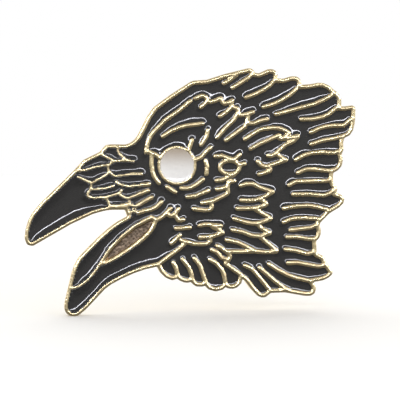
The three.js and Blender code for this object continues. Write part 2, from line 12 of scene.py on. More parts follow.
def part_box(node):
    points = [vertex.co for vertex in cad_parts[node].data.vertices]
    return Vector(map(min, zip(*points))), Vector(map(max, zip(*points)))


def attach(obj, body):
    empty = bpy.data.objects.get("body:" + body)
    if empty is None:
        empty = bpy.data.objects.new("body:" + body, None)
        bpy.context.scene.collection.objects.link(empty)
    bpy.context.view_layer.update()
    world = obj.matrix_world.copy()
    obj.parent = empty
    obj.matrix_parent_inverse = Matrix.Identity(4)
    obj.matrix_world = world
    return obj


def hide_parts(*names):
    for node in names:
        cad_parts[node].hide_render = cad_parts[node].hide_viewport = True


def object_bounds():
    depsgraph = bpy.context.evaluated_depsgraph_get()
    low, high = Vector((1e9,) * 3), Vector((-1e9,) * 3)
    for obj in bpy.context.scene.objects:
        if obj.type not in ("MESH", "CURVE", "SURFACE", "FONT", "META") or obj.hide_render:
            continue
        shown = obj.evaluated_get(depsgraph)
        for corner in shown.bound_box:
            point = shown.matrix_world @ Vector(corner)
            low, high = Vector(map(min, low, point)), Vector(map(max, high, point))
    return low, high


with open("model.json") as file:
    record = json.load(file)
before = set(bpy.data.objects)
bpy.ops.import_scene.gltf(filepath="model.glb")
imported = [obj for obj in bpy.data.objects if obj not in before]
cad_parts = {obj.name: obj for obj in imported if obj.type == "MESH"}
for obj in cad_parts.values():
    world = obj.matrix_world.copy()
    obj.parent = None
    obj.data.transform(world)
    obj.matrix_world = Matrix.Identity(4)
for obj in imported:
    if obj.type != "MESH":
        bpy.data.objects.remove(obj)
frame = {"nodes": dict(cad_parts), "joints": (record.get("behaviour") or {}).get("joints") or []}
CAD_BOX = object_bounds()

bl_info = {
    "name": "Enamel Pin Badge",
    "version": (1, 0, 0),
    "blender": (4, 5, 0),
    "location": "3D View > Sidebar > Badge",
    "description": "Builds a struck and enamelled pin badge on its packed CAD frame",
    "category": "Object",
}

MM = 0.001
ENAMELS = {
    "head_enamel": "black_enamel",
    "upper_beak_enamel": "black_enamel",
    "nostril_enamel": "black_enamel",
    "brow_scale_enamel": "black_enamel",
    "cheek_enamel": "black_enamel",
    "eye_enamel": "white_enamel",
}
SIDES = ("left", "right")

# Heights of the face, from the frame: the front looks along -Y and the back lies at zero.
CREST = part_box("badge_plate")[0].y
FILL_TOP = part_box("eye_enamel")[0].y
FILL_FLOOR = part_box("eye_enamel")[1].y


# How far a wing's hinge line lies from the middle of its clutch, the same for all four wings.
HINGE = next(abs(j["pos_m"][2]) for j in frame["joints"] if j["name"].endswith("_squeeze"))


# ---------------------------------------------------------------- settings

def length(name, description, default):
    return bpy.props.FloatProperty(
        name=name, description=description, default=default, min=0.0, precision=5,
        subtype="DISTANCE", unit="LENGTH")


def count(name, description, default):
    return bpy.props.IntProperty(name=name, description=description, default=default, min=1)


def colour(name, description, default):
    return bpy.props.FloatVectorProperty(
        name=name, description=description, default=default, size=3,
        subtype="COLOR", min=0.0, max=1.0)


class BadgeStruckSettings(bpy.types.PropertyGroup):
    grain: length("Grain", "Size of the facets of the struck metal", 0.085 * MM)
    rounding: count("Rounding", "Smoothing passes over the struck metal", 8)
    crown_width: length("Crown Width", "How far in from its walls a line's top is rounded", 0.27 * MM)
    crown_height: length("Crown Height", "How much lower a line's top is at its walls", 0.22 * MM)
    swell: length("Swell", "How far the plating thickens a line on each side", 0.045 * MM)
    bare: length("Bare", "How far down the lines' walls are made before the enamel hides them", 0.32 * MM)
    plating: colour("Plating", "Pale gold plating on crests and rim", (0.96, 0.82, 0.49))
    # Painted shade for the lower flanks of the lines; the same colour also tints the tarnish blotches.
    shade_and_tarnish: colour("Shade", "Darker plating low on the flanks", (0.50, 0.36, 0.20))
    tongue: colour("Tongue", "Blasted metal of the tongue", (0.30, 0.23, 0.165))


class BadgeEnamelSettings(bpy.types.PropertyGroup):
    step: length("Step", "Spacing of the enamel surface's points", 0.105 * MM)
    tuck: length("Tuck", "How far the enamel runs on under the metal", 0.16 * MM)
    beak_edge: length("Beak Edge", "Line tops to the enamel's edge on the beak", 0.07 * MM)
    feather_edge: length("Feather Edge", "Line tops to the enamel's edge among the feathers", 0.22 * MM)
    eye_edge: length("Eye Edge", "Ring top to the enamel's edge in the eye", 0.10 * MM)
    depth: length("Depth", "Line tops to the middle of a wide pool", 0.43 * MM)
    eye_depth: length("Eye Depth", "Ring top to the middle of the eye", 0.36 * MM)
    creep: length("Creep", "Width of the enamel that climbs the metal", 0.50 * MM)
    ripple: length("Ripple", "Height of the waves left by the drying enamel", 0.006 * MM)
    black: colour("Black", "Black enamel", (0.019, 0.0185, 0.018))
    white: colour("White", "White enamel", (0.72, 0.71, 0.68))
    # Painted shade: the top of the eye is darkened and warmed with this colour.
    white_top_shade: colour("Top Shade White", "White enamel where it lies thin", (0.33, 0.27, 0.20))


class BadgeFixingSettings(bpy.types.PropertyGroup):
    sheet: length("Sheet", "Thickness of the stamped brass", 0.35 * MM)
    leaf: length("Leaf", "Thickness of the leaf spring", 0.12 * MM)
    bore: length("Bore", "Radius of the hole for the post", 0.75 * MM)
    shaft: length("Shaft", "Radius of the post", 0.55 * MM)
    gap: length("Gap", "Clearance between the clutch's own pieces", 0.02 * MM)
    brass: colour("Brass", "Stamped brass of the clutches", (0.78, 0.60, 0.30))
    steel: colour("Steel", "Leaf spring", (0.56, 0.55, 0.52))
    braze: colour("Braze", "Dull braze round the posts", (0.52, 0.45, 0.30))


class BadgeStageSettings(bpy.types.PropertyGroup):
    lens: bpy.props.FloatProperty(
        name="Lens", description="Focal length of the camera", default=100.0, subtype="DISTANCE_CAMERA")
    swing: bpy.props.FloatProperty(
        name="Swing", description="How far the camera stands to the left of the face",
        default=math.radians(10.0), subtype="ANGLE", unit="ROTATION")
    rise: bpy.props.FloatProperty(
        name="Rise", description="How far the camera stands above the face",
        default=math.radians(1.5), subtype="ANGLE", unit="ROTATION")
    width: length("Width", "Width of the picture at the face", 45.2 * MM)
    aim: bpy.props.FloatVectorProperty(
        name="Aim", description="Point of the face in the middle of the picture",
        default=(-3.85 * MM, CREST, -2.49 * MM), subtype="TRANSLATION", unit="LENGTH")
    floor: colour("Floor", "Pale floor", (0.93, 0.93, 0.92))
    softbox: bpy.props.FloatProperty(name="Softbox", description="Brightness of the softbox", default=31.0)


# ---------------------------------------------------------------- node groups and materials

def wire(tree, **nodes):
    """Adds the named nodes to a tree, each given as (type, properties, inputs), and wires them up.

    An input is a value, a socket, or (name, output) of a node given before it."""
    made = {}
    for name, (kind, properties, inputs) in nodes.items():
        node = tree.nodes.new(kind)
        node.name = node.label = name.replace("_", " ")
        for key, value in properties.items():
            setattr(node, key, value)
        for key, value in inputs.items():
            if isinstance(value, tuple) and isinstance(value[0], str):
                tree.links.new(made[value[0]].outputs[value[1]], node.inputs[key])
            elif isinstance(value, bpy.types.NodeSocket):
                tree.links.new(value, node.inputs[key])
            else:
                node.inputs[key].default_value = value
        made[name] = node
    return made


def effect_group(name, inputs, outputs):
    """A shader node group with float inputs and the given outputs, or None where it is already built."""
    if name in bpy.data.node_groups:
        return None
    group = bpy.data.node_groups.new(name, "ShaderNodeTree")
    group.interface.new_socket("Vector", in_out="INPUT", socket_type="NodeSocketVector")
    for label, default in inputs.items():
        socket = group.interface.new_socket(label, in_out="INPUT", socket_type="NodeSocketFloat")
        socket.default_value = default
    for label in outputs:
        group.interface.new_socket(label, in_out="OUTPUT", socket_type="NodeSocketFloat")
    return group


def metal_wear_group():
    """Cloudy tarnish, hairline scratches and fine pits of a plated or stamped metal."""
    name = "metal wear"
    group = effect_group(
        name, {"Cloud Size": 700.0, "Scratches": 0.5, "Pits": 0.5},
        ("Tarnish", "Scratch", "Height"))
    if group is None:
        return bpy.data.node_groups[name]
    source = group.nodes.new("NodeGroupInput")
    sink = group.nodes.new("NodeGroupOutput")
    made = wire(
        group,
        cloud=("ShaderNodeTexNoise", {}, {
            "Vector": source.outputs["Vector"], "Scale": source.outputs["Cloud Size"],
            "Detail": 5.0, "Roughness": 0.6}),
        tarnish=("ShaderNodeMapRange", {"interpolation_type": "SMOOTHSTEP"}, {
            "Value": ("cloud", "Fac"), "From Min": 0.38, "From Max": 0.72}),
        stretch=("ShaderNodeMapping", {}, {
            "Vector": source.outputs["Vector"], "Rotation": (0.3, 0.5, 0.2),
            "Scale": (260.0, 900.0, 5200.0)}),
        hairs=("ShaderNodeTexNoise", {}, {
            "Vector": ("stretch", "Vector"), "Scale": 1.0, "Detail": 2.0, "Distortion": 0.3}),
        hairline=("ShaderNodeMapRange", {}, {
            "Value": ("hairs", "Fac"), "From Min": 0.60, "From Max": 0.68}),
        scratch=("ShaderNodeMath", {"operation": "MULTIPLY"}, {
            0: ("hairline", "Result"), 1: source.outputs["Scratches"]}),
        grit=("ShaderNodeTexNoise", {}, {
            "Vector": source.outputs["Vector"], "Scale": 9000.0, "Detail": 3.0}),
        pits=("ShaderNodeMath", {"operation": "MULTIPLY"}, {
            0: ("grit", "Fac"), 1: source.outputs["Pits"]}),
        height=("ShaderNodeMath", {"operation": "SUBTRACT"}, {
            0: ("pits", "Value"), 1: ("scratch", "Value")}),
    )
    group.links.new(made["tarnish"].outputs["Result"], sink.inputs["Tarnish"])
    group.links.new(made["scratch"].outputs["Value"], sink.inputs["Scratch"])
    group.links.new(made["height"].outputs["Value"], sink.inputs["Height"])
    return group


def glaze_group():
    """Slow waves, orange peel and settled dust of dried enamel."""
    name = "enamel glaze"
    group = effect_group(
        name, {"Peel Size": 2600.0, "Dust": 0.3}, ("Cloud", "Dust", "Height"))
    if group is None:
        return bpy.data.node_groups[name]
    source = group.nodes.new("NodeGroupInput")
    sink = group.nodes.new("NodeGroupOutput")
    made = wire(
        group,
        cloud=("ShaderNodeTexNoise", {}, {
            "Vector": source.outputs["Vector"], "Scale": 180.0, "Detail": 3.0}),
        peel=("ShaderNodeTexNoise", {}, {
            "Vector": source.outputs["Vector"], "Scale": source.outputs["Peel Size"], "Detail": 1.5}),
        specks=("ShaderNodeTexVoronoi", {"feature": "F1"}, {
            "Vector": source.outputs["Vector"], "Scale": 1500.0, "Randomness": 1.0}),
        mote=("ShaderNodeMapRange", {}, {
            "Value": ("specks", "Distance"), "From Min": 0.10, "From Max": 0.05}),
        patch=("ShaderNodeMapRange", {}, {
            "Value": ("cloud", "Fac"), "From Min": 0.50, "From Max": 0.62}),
        settled=("ShaderNodeMath", {"operation": "MULTIPLY"}, {
            0: ("mote", "Result"), 1: ("patch", "Result")}),
        dust=("ShaderNodeMath", {"operation": "MULTIPLY"}, {
            0: ("settled", "Value"), 1: source.outputs["Dust"]}),
    )
    group.links.new(made["cloud"].outputs["Fac"], sink.inputs["Cloud"])
    group.links.new(made["dust"].outputs["Value"], sink.inputs["Dust"])
    group.links.new(made["peel"].outputs["Fac"], sink.inputs["Height"])
    return group


def start_material(name):
    """A new material holding only its shader, its output and the object's own coordinates."""
    material = bpy.data.materials.new(name)
    material.use_nodes = True
    tree = material.node_tree
    shader = next(n for n in tree.nodes if n.type == "BSDF_PRINCIPLED")
    place = tree.nodes.new("ShaderNodeTexCoord")
    return material, tree, shader, place.outputs["Object"]


def group_node(tree, group, vector, **values):
    node = tree.nodes.new("ShaderNodeGroup")
    node.node_tree = group
    tree.links.new(vector, node.inputs["Vector"])
    for key, value in values.items():
        node.inputs[key.replace("_", " ")].default_value = value
    return node


def metal(name, clean, dull, roughness, cloud_size, scratches, pits, relief):
    """Plated or bare metal: dull where it is tarnished, rougher where it is scratched or pitted."""
    if name in bpy.data.materials:
        return bpy.data.materials[name]
    material, tree, shader, place = start_material(name)
    wear = group_node(
        tree, metal_wear_group(), place, Cloud_Size=cloud_size, Scratches=scratches, Pits=pits)
    made = wire(
        tree,
        tint=("ShaderNodeMix", {"data_type": "RGBA"}, {
            "Factor": wear.outputs["Tarnish"], 6: (*clean, 1.0), 7: (*dull, 1.0)}),
        gloss=("ShaderNodeMapRange", {}, {
            "Value": wear.outputs["Tarnish"], "To Min": 0.8 * roughness, "To Max": 1.5 * roughness}),
        scuffed=("ShaderNodeMath", {"operation": "MULTIPLY_ADD"}, {
            0: wear.outputs["Scratch"], 1: 0.3, 2: ("gloss", "Result")}),
        bump=("ShaderNodeBump", {}, {
            "Height": wear.outputs["Height"], "Strength": 1.0, "Distance": relief}),
    )
    shader.inputs["Metallic"].default_value = 1.0
    tree.links.new(made["tint"].outputs[2], shader.inputs["Base Color"])
    tree.links.new(made["scuffed"].outputs["Value"], shader.inputs["Roughness"])
    tree.links.new(made["bump"].outputs["Normal"], shader.inputs["Normal"])
    return material


def plating_material(settings):
    """Polished gold plating with cloudy tarnish, browned low on the flanks by the enamel with painted shade.
    """
    name = "gold plating"
    if name in bpy.data.materials:
        return bpy.data.materials[name]
    material, tree, shader, place = start_material(name)
    wear = group_node(tree, metal_wear_group(), place, Cloud_Size=1100.0, Scratches=0.3, Pits=0.2)
    made = wire(
        tree,
        place=("ShaderNodeSeparateXYZ", {}, {"Vector": place}),
        # From just below the crests to about half a millimetre down the flanks the plating is browned:
        # painted shade.
        crest=("ShaderNodeMapRange", {"interpolation_type": "SMOOTHSTEP"}, {
            "Value": ("place", "Y"), "From Min": CREST + 0.05 * MM, "From Max": CREST + 0.20 * MM}),
        back=("ShaderNodeMapRange", {}, {
            "Value": ("place", "Y"), "From Min": CREST + 0.5 * MM, "From Max": CREST + 0.7 * MM,
            "To Min": 1.0, "To Max": 0.0}),
        flank=("ShaderNodeMath", {"operation": "MULTIPLY"}, {
            0: ("crest", "Result"), 1: ("back", "Result")}),
        blotch=("ShaderNodeMath", {"operation": "MULTIPLY_ADD", "use_clamp": True}, {
            0: wear.outputs["Tarnish"], 1: 0.55, 2: 0.0}),
        dirt=("ShaderNodeMath", {"operation": "MAXIMUM"}, {
            0: ("blotch", "Value"), 1: ("flank", "Value")}),
        tint=("ShaderNodeMix", {"data_type": "RGBA"}, {
            "Factor": ("dirt", "Value"), 6: (*settings.plating, 1.0), 7: (*settings.shade_and_tarnish, 1.0)}),
        gloss=("ShaderNodeMapRange", {}, {
            "Value": wear.outputs["Tarnish"], "To Min": 0.26, "To Max": 0.38}),
        scuffed=("ShaderNodeMath", {"operation": "MULTIPLY_ADD"}, {
            0: wear.outputs["Scratch"], 1: 0.3, 2: ("gloss", "Result")}),
        bump=("ShaderNodeBump", {}, {
            "Height": wear.outputs["Height"], "Strength": 0.8, "Distance": 0.012 * MM}),
    )
    shader.inputs["Metallic"].default_value = 1.0
    tree.links.new(made["tint"].outputs[2], shader.inputs["Base Color"])
    tree.links.new(made["scuffed"].outputs["Value"], shader.inputs["Roughness"])
    tree.links.new(made["bump"].outputs["Normal"], shader.inputs["Normal"])
    return material


def tongue_material(settings):
    """Sand-blasted metal of the tongue: browned in the pits, bright on the grains."""
    name = "blasted tongue"
    if name in bpy.data.materials:
        return bpy.data.materials[name]
    material, tree, shader, place = start_material(name)
    dark = [0.35 * c for c in settings.tongue]
    made = wire(
        tree,
        grains=("ShaderNodeTexVoronoi", {"feature": "F1"}, {"Vector": place, "Scale": 3600.0}),
        clump=("ShaderNodeTexNoise", {}, {"Vector": place, "Scale": 1500.0, "Detail": 4.0}),
        grain=("ShaderNodeMath", {"operation": "MULTIPLY"}, {
            0: ("grains", "Distance"), 1: ("clump", "Fac")}),
        worn=("ShaderNodeMapRange", {}, {
            "Value": ("grain", "Value"), "From Min": 0.08, "From Max": 0.36}),
        tint=("ShaderNodeMix", {"data_type": "RGBA"}, {
            "Factor": ("worn", "Result"), 6: (*dark, 1.0), 7: (*settings.tongue, 1.0)}),
        gloss=("ShaderNodeMapRange", {}, {
            "Value": ("clump", "Fac"), "To Min": 0.38, "To Max": 0.60}),
        bump=("ShaderNodeBump", {}, {
            "Height": ("grain", "Value"), "Strength": 1.0, "Distance": 0.10 * MM}),
    )
    shader.inputs["Metallic"].default_value = 1.0
    tree.links.new(made["tint"].outputs[2], shader.inputs["Base Color"])
    tree.links.new(made["gloss"].outputs["Result"], shader.inputs["Roughness"])
    tree.links.new(made["bump"].outputs["Normal"], shader.inputs["Normal"])
    return material


def enamel_material(name, tone, dust_tone, roughness, relief, shine, toward_top):
    """Glossy dried enamel with a faint orange peel and a little dust, ramped to a second tone between two
    heights; on the eye this ramp is painted shade on its top.
    """
    if name in bpy.data.materials:
        return bpy.data.materials[name]
    material, tree, shader, place = start_material(name)
    glaze = group_node(tree, glaze_group(), place, Peel_Size=2200.0, Dust=0.25)
    deeper = [0.86 * c for c in tone]
    low, high, top_tone = toward_top
    made = wire(
        tree,
        axes=("ShaderNodeSeparateXYZ", {}, {"Vector": place}),
        # The tone ramps towards the top of the piece between two heights: painted shade on the eye's top,
        # and a tenth lighter black towards the top of the face.
        thinness=("ShaderNodeMapRange", {"interpolation_type": "SMOOTHSTEP"}, {
            "Value": ("axes", "Z"), "From Min": low, "From Max": high}),
        poured=("ShaderNodeMix", {"data_type": "RGBA"}, {
            "Factor": glaze.outputs["Cloud"], 6: (*tone, 1.0), 7: (*deeper, 1.0)}),
        body=("ShaderNodeMix", {"data_type": "RGBA"}, {
            "Factor": ("thinness", "Result"), 6: ("poured", 2), 7: (*top_tone, 1.0)}),
        dusted=("ShaderNodeMix", {"data_type": "RGBA"}, {
            "Factor": glaze.outputs["Dust"], 6: ("body", 2), 7: (*dust_tone, 1.0)}),
        gloss=("ShaderNodeMapRange", {}, {
            "Value": glaze.outputs["Cloud"], "From Min": 0.3, "From Max": 0.7,
            "To Min": 0.7 * roughness, "To Max": 1.5 * roughness}),
        bump=("ShaderNodeBump", {}, {
            "Height": glaze.outputs["Height"], "Strength": 1.0, "Distance": relief}),
    )
    shader.inputs["Specular IOR Level"].default_value = shine
    tree.links.new(made["dusted"].outputs[2], shader.inputs["Base Color"])
    tree.links.new(made["gloss"].outputs["Result"], shader.inputs["Roughness"])
    tree.links.new(made["bump"].outputs["Normal"], shader.inputs["Normal"])
    return material


# ---------------------------------------------------------------- mesh helpers

def merged_copy(node):
    """A bmesh copy of a CAD node whose loose triangles are joined."""
    bm = bmesh.new()
    bm.from_mesh(frame["nodes"][node].data)
    bmesh.ops.remove_doubles(bm, verts=bm.verts, dist=0.002 * MM)
    return bm


def object_from(bm, name):
    mesh = bpy.data.meshes.new(name)
    bm.to_mesh(mesh)
    bm.free()
    made = bpy.data.objects.new(name, mesh)
    bpy.context.scene.collection.objects.link(made)
    return made


def bake_modifiers(made):
    """Applies the modifiers of an object and gives its mesh back as a bmesh, removing the object."""
    depsgraph = bpy.context.evaluated_depsgraph_get()
    depsgraph.update()
    bm = bmesh.new()
    bm.from_object(made, depsgraph)
    bpy.data.objects.remove(made)
    return bm


def finish_piece(bm, name, body, materials, replaces=(), smooth_angle=None):
    """Turns a bmesh into a shaded piece that rides on a body."""
    made = object_from(bm, name)
    for material in materials:
        made.data.materials.append(material)
    made.data.shade_smooth()
    if smooth_angle is not None:
        made.data.set_sharp_from_angle(angle=smooth_angle)
    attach(made, body)
    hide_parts(*replaces)
    return made


# ---------------------------------------------------------------- struck metal

def smoothstep(t):
    t = min(max(t, 0.0), 1.0)
    return t * t * (3 - 2 * t)


def upright_walls(bm):
    """The walls that stand square to the face, to measure how far a point lies from them."""
    level = [face for face in bm.faces if abs(face.normal.y) > 0.5]
    bmesh.ops.delete(bm, geom=level, context="FACES_ONLY")
    return BVHTree.FromBMesh(bm)


def worn_blank(settings):
    """The whole struck plate as one even skin, its lines crowned and its edges rounded."""
    plate = merged_copy("badge_plate")
    blank = object_from(plate.copy(), "blank")
    walls = upright_walls(plate)
    plate.free()
    skin = blank.modifiers.new("skin", "REMESH")
    skin.mode = "VOXEL"
    skin.voxel_size = settings.grain
    bm = bake_modifiers(blank)

    top = CREST + 0.5 * settings.grain
    height = CREST + 0.1 * MM
    for vert in bm.verts:
        thicker = settings.swell * smoothstep((0.35 * CREST - vert.co.y) / (-0.35 * CREST))
        vert.co += thicker * Vector((vert.normal.x, 0, vert.normal.z))
        if vert.co.y > top:
            continue
        gap = walls.find_nearest(Vector((vert.co.x, height, vert.co.z)))[3]
        lean = 1 - min(gap / settings.crown_width, 1.0)
        vert.co.y = CREST + settings.crown_height * (1 - math.sqrt(1 - lean * lean))

    blank = object_from(bm, "blank")
    ease = blank.modifiers.new("ease", "SMOOTH")
    ease.factor = 0.5
    ease.iterations = settings.rounding
    return bake_modifiers(blank)


def cut(bm, height, keep_front):
    """Keeps what lies in front of or behind a height."""
    bmesh.ops.bisect_plane(
        bm, geom=[*bm.verts, *bm.edges, *bm.faces], dist=0.001 * MM,
        plane_co=(0, height, 0), plane_no=(0, 1, 0),
        clear_outer=keep_front, clear_inner=not keep_front)


def enamel_walls():
    """The upright walls of every pool, to find the metal that stands against the enamel."""
    bm = bmesh.new()
    for node in ENAMELS:
        bm.from_mesh(frame["nodes"][node].data)
    bmesh.ops.recalc_face_normals(bm, faces=bm.faces)
    walls = upright_walls(bm)
    bm.free()
    return walls


class BADGE_OT_struck_metal(bpy.types.Operator):
    """Make the struck lines and rim with the tongue, and the plate behind them"""
    bl_idname = "badge.struck_metal"
    bl_label = "Struck Metal"

    def execute(self, context):
        settings = context.scene.badge_struck
        plating = plating_material(settings)
        tongue = tongue_material(settings)
        parting = 0.55 * CREST
        floor = FILL_FLOOR - 0.04 * MM
        against = 0.20 * MM

        blank = worn_blank(settings)
        cut(blank, parting, keep_front=True)
        pools = enamel_walls()
        under = CREST + settings.bare
        hidden = []
        for face in blank.faces:
            middle = face.calc_center_median()
            buried = middle.y > under and pools.find_nearest(
                Vector((middle.x, (FILL_TOP + FILL_FLOOR) / 2, middle.z)))[3] < against
            if buried or face.normal.y < -0.9 and middle.y > floor:
                hidden.append(face)
        bmesh.ops.delete(blank, geom=hidden, context="FACES")
        tongue_low, tongue_high = 0.70 * CREST, 0.84 * CREST
        for face in blank.faces:
            level = face.calc_center_median().y
            if tongue_high < level < tongue_low and face.normal.y < -0.75:
                face.material_index = 1
        finish_piece(
            blank, "struck_lines", "badge", [plating, tongue])

        back = merged_copy("badge_plate")
        cut(back, parting, keep_front=False)
        bmesh.ops.holes_fill(back, edges=[e for e in back.edges if e.is_boundary], sides=0)
        bmesh.ops.recalc_face_normals(back, faces=back.faces)
        finish_piece(
            back, "backing_plate", "badge", [plating],
            replaces=["badge_plate"], smooth_angle=math.radians(50))
        return {"FINISHED"}


# ---------------------------------------------------------------- enamel

def pool_grid(node, settings):
    """A level grid of points over a pool, and how many points it has across and along."""
    low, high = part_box(node)
    middle = (low + high) / 2
    margin = settings.tuck + settings.step
    half_x = (high.x - low.x) / 2 + margin
    half_z = (high.z - low.z) / 2 + margin
    across = math.ceil(2 * half_x / settings.step)
    along = math.ceil(2 * half_z / settings.step)
    sheet = bmesh.new()
    bmesh.ops.create_grid(
        sheet, x_segments=across, y_segments=along, size=1.0,
        matrix=Matrix.Translation((middle.x, FILL_TOP, middle.z))
        @ Matrix.Rotation(math.radians(90), 4, "X") @ Matrix.Diagonal((half_x, half_z, 1, 1)))
    return sheet, along + 1, across + 1


def dried(edge, rest, free, creep, step, rounds=400):
    """Heights of a film that is held at its edge and pulled to its rest height away from it."""
    height = np.where(free, rest, edge)
    pull = (step / creep) ** 2 / 4
    for _ in range(rounds):
        around = (np.roll(height, 1, 0) + np.roll(height, -1, 0)
                  + np.roll(height, 1, 1) + np.roll(height, -1, 1)) / 4
        height = np.where(free, (around + pull * rest) / (1 + pull), edge)
    return height


def enamel_skin(node, settings, depth, creep, edge_at):
    """A poured pool: low in the middle, climbing the metal round its edge."""
    bm = merged_copy(node)
    everything = BVHTree.FromBMesh(bm)
    walls = upright_walls(bm)
    bm.free()

    sheet, rows, columns = pool_grid(node, settings)
    probe_y = (FILL_TOP + FILL_FLOOR) / 2
    outside = []
    rest = CREST + depth
    edges = []
    free = []
    for vert in sheet.verts:
        point = Vector((vert.co.x, probe_y, vert.co.z))
        gap = walls.find_nearest(point)[3]
        hit = everything.ray_cast(Vector((point.x, 2 * CREST, point.z)), Vector((0, 1, 0)))[0]
        if hit is None and gap > settings.tuck:
            outside.append(vert)
        if hit is None:
            gap = -gap
        edge = CREST + edge_at(point)
        edges.append(rest - (rest - edge) * math.exp(-gap / creep))
        free.append(gap > 0.7 * settings.step)
    shape = (rows, columns)
    heights = dried(
        np.array(edges).reshape(shape), rest, np.array(free).reshape(shape), creep, settings.step)
    for vert, height in zip(sheet.verts, heights.flat):
        vert.co.y = height + settings.ripple * noise.fractal(vert.co / (0.9 * MM), 1.0, 2.0, 2)
    bmesh.ops.delete(sheet, geom=outside, context="VERTS")
    loose = [vert for vert in sheet.verts if not vert.link_faces]
    bmesh.ops.delete(sheet, geom=loose, context="VERTS")

    made = bmesh.ops.extrude_face_region(sheet, geom=list(sheet.faces))
    for item in made["geom"]:
        if isinstance(item, bmesh.types.BMVert):
            item.co.y = FILL_FLOOR
    bmesh.ops.recalc_face_normals(sheet, faces=sheet.faces)
    return sheet


class BADGE_OT_enamel(bpy.types.Operator):
    """Pour the black enamel into the face's recesses and the white enamel into the eye"""
    bl_idname = "badge.enamel"
    bl_label = "Enamel"

    def execute(self, context):
        settings = context.scene.badge_enamel
        face_low, face_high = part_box("head_enamel")
        eye_low, eye_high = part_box("eye_enamel")
        # Both enamels change tone towards the top: the black is made a tenth lighter, and the white is
        # darkened and warmed as painted shade on the eye's top.
        black = enamel_material(
            "black enamel", tuple(settings.black), (0.10, 0.095, 0.08), 0.06, 0.0006 * MM, 0.75,
            (face_low.z, face_high.z, [1.1 * c for c in settings.black]))
        white = enamel_material(
            "white enamel", tuple(settings.white), (0.45, 0.42, 0.36), 0.12, 0.0010 * MM, 0.5,
            ((eye_low.z + eye_high.z) / 2 - 0.9 * MM, eye_high.z + 0.5 * MM, tuple(settings.white_top_shade)))

        scales_end = 1.9 * eye_low.x
        fall = settings.feather_edge - settings.beak_edge

        def edge_at(point):
            feathers = (point.x - scales_end) / (eye_high.x - scales_end)
            return settings.beak_edge + fall * smoothstep(feathers)

        for node, slot in ENAMELS.items():
            if slot == "white_enamel":
                skin = enamel_skin(
                    node, settings, settings.eye_depth, 2.0 * settings.creep, lambda _: settings.eye_edge)
                enamel = white
            else:
                skin = enamel_skin(node, settings, settings.depth, settings.creep, edge_at)
                enamel = black
            finish_piece(
                skin, node.replace("_enamel", "_pool"), "badge", [enamel], replaces=[node])
        return {"FINISHED"}


# ---------------------------------------------------------------- posts and clutches

def turned(profile, centre, steps=56):
    """A solid turned about a line along Y: the profile holds (radius, height) pairs."""
    bm = bmesh.new()
    verts = [bm.verts.new((centre.x + radius, height, centre.z)) for radius, height in profile]
    for a, b in zip(verts, verts[1:]):
        bm.edges.new((a, b))
    if profile[0][0] > 0:
        bm.edges.new((verts[-1], verts[0]))
    bmesh.ops.spin(
        bm, geom=[*bm.verts, *bm.edges], cent=centre, axis=(0, 1, 0), angle=math.tau,
        steps=steps, use_merge=True)
    bmesh.ops.remove_doubles(bm, verts=bm.verts, dist=0.0005 * MM)
    bmesh.ops.recalc_face_normals(bm, faces=bm.faces)
    return bm


def arc(radius, height, size, start, end, steps=5):
    """Points of a rounded corner of a turned profile, between two angles in degrees."""
    return [
        (radius + size * math.cos(math.radians(start + (end - start) * i / steps)),
         height + size * math.sin(math.radians(start + (end - start) * i / steps)))
        for i in range(steps + 1)]


def bent_strip(path, thickness, half_width, centre_x, bend, corner=0.0):
    """Sheet metal bent along a path of (z, y) points, as wide as given across X."""
    bm = bmesh.new()
    verts = [bm.verts.new((centre_x - half_width, y, z)) for z, y in path]
    for a, b in zip(verts, verts[1:]):
        bm.edges.new((a, b))
    bmesh.ops.bevel(
        bm, geom=verts[1:-1], offset=bend, offset_type="OFFSET", segments=5, profile=0.5,
        affect="VERTICES", material=-1, clamp_overlap=True)
    made = bmesh.ops.extrude_edge_only(bm, edges=bm.edges[:])
    moved = [item for item in made["geom"] if isinstance(item, bmesh.types.BMVert)]
    bmesh.ops.translate(bm, verts=moved, vec=(2 * half_width, 0, 0))
    if corner > 0:
        tip = Vector((0, path[-1][1], path[-1][0]))
        ends = [v for v in bm.verts if (Vector((0, v.co.y, v.co.z)) - tip).length < 0.001 * MM]
        bmesh.ops.bevel(
            bm, geom=ends, offset=corner, offset_type="OFFSET", segments=7, profile=0.5,
            affect="VERTICES", material=-1, clamp_overlap=True)
    bmesh.ops.recalc_face_normals(bm, faces=bm.faces)
    made = bmesh.ops.solidify(bm, geom=bm.faces[:], thickness=thickness)
    shift_to_middle(bm, path, thickness)
    bmesh.ops.recalc_face_normals(bm, faces=bm.faces)
    return bm


def shift_to_middle(bm, path, thickness):
    """Solidify grows a sheet to one side; this centres the wall on the path at its first point."""
    z, y = path[0]
    ends = [v.co.y for v in bm.verts if abs(v.co.z - z) < 0.01 * MM]
    if not ends:
        return
    middle = (min(ends) + max(ends)) / 2
    bmesh.ops.translate(bm, verts=bm.verts, vec=(0, y - middle, 0))


def drilled(bm, name, centre, radius, depth):
    """Bores a round hole along Y through a piece."""
    body = object_from(bm, name)
    drill = bmesh.new()
    bmesh.ops.create_cone(
        drill, cap_ends=True, segments=40, radius1=radius, radius2=radius, depth=depth,
        matrix=Matrix.Translation(centre) @ Matrix.Rotation(math.radians(90), 4, "X"))
    cutter = object_from(drill, "drill")
    cutter.hide_render = True
    hole = body.modifiers.new("hole", "BOOLEAN")
    hole.operation = "DIFFERENCE"
    hole.solver = "EXACT"
    hole.object = cutter
    bored = bake_modifiers(body)
    bpy.data.objects.remove(cutter)
    return bored


def soften(bm, size):
    """Breaks the sharp edges of a stamped piece."""
    bmesh.ops.dissolve_limit(
        bm, angle_limit=math.radians(1), verts=bm.verts, edges=bm.edges, delimit={"NORMAL"})
    sharp = [e for e in bm.edges if e.is_manifold and e.calc_face_angle(0) > math.radians(42)]
    bmesh.ops.bevel(
        bm, geom=sharp, offset=size, offset_type="OFFSET", segments=2, profile=0.5,
        affect="EDGES", material=-1, clamp_overlap=True)


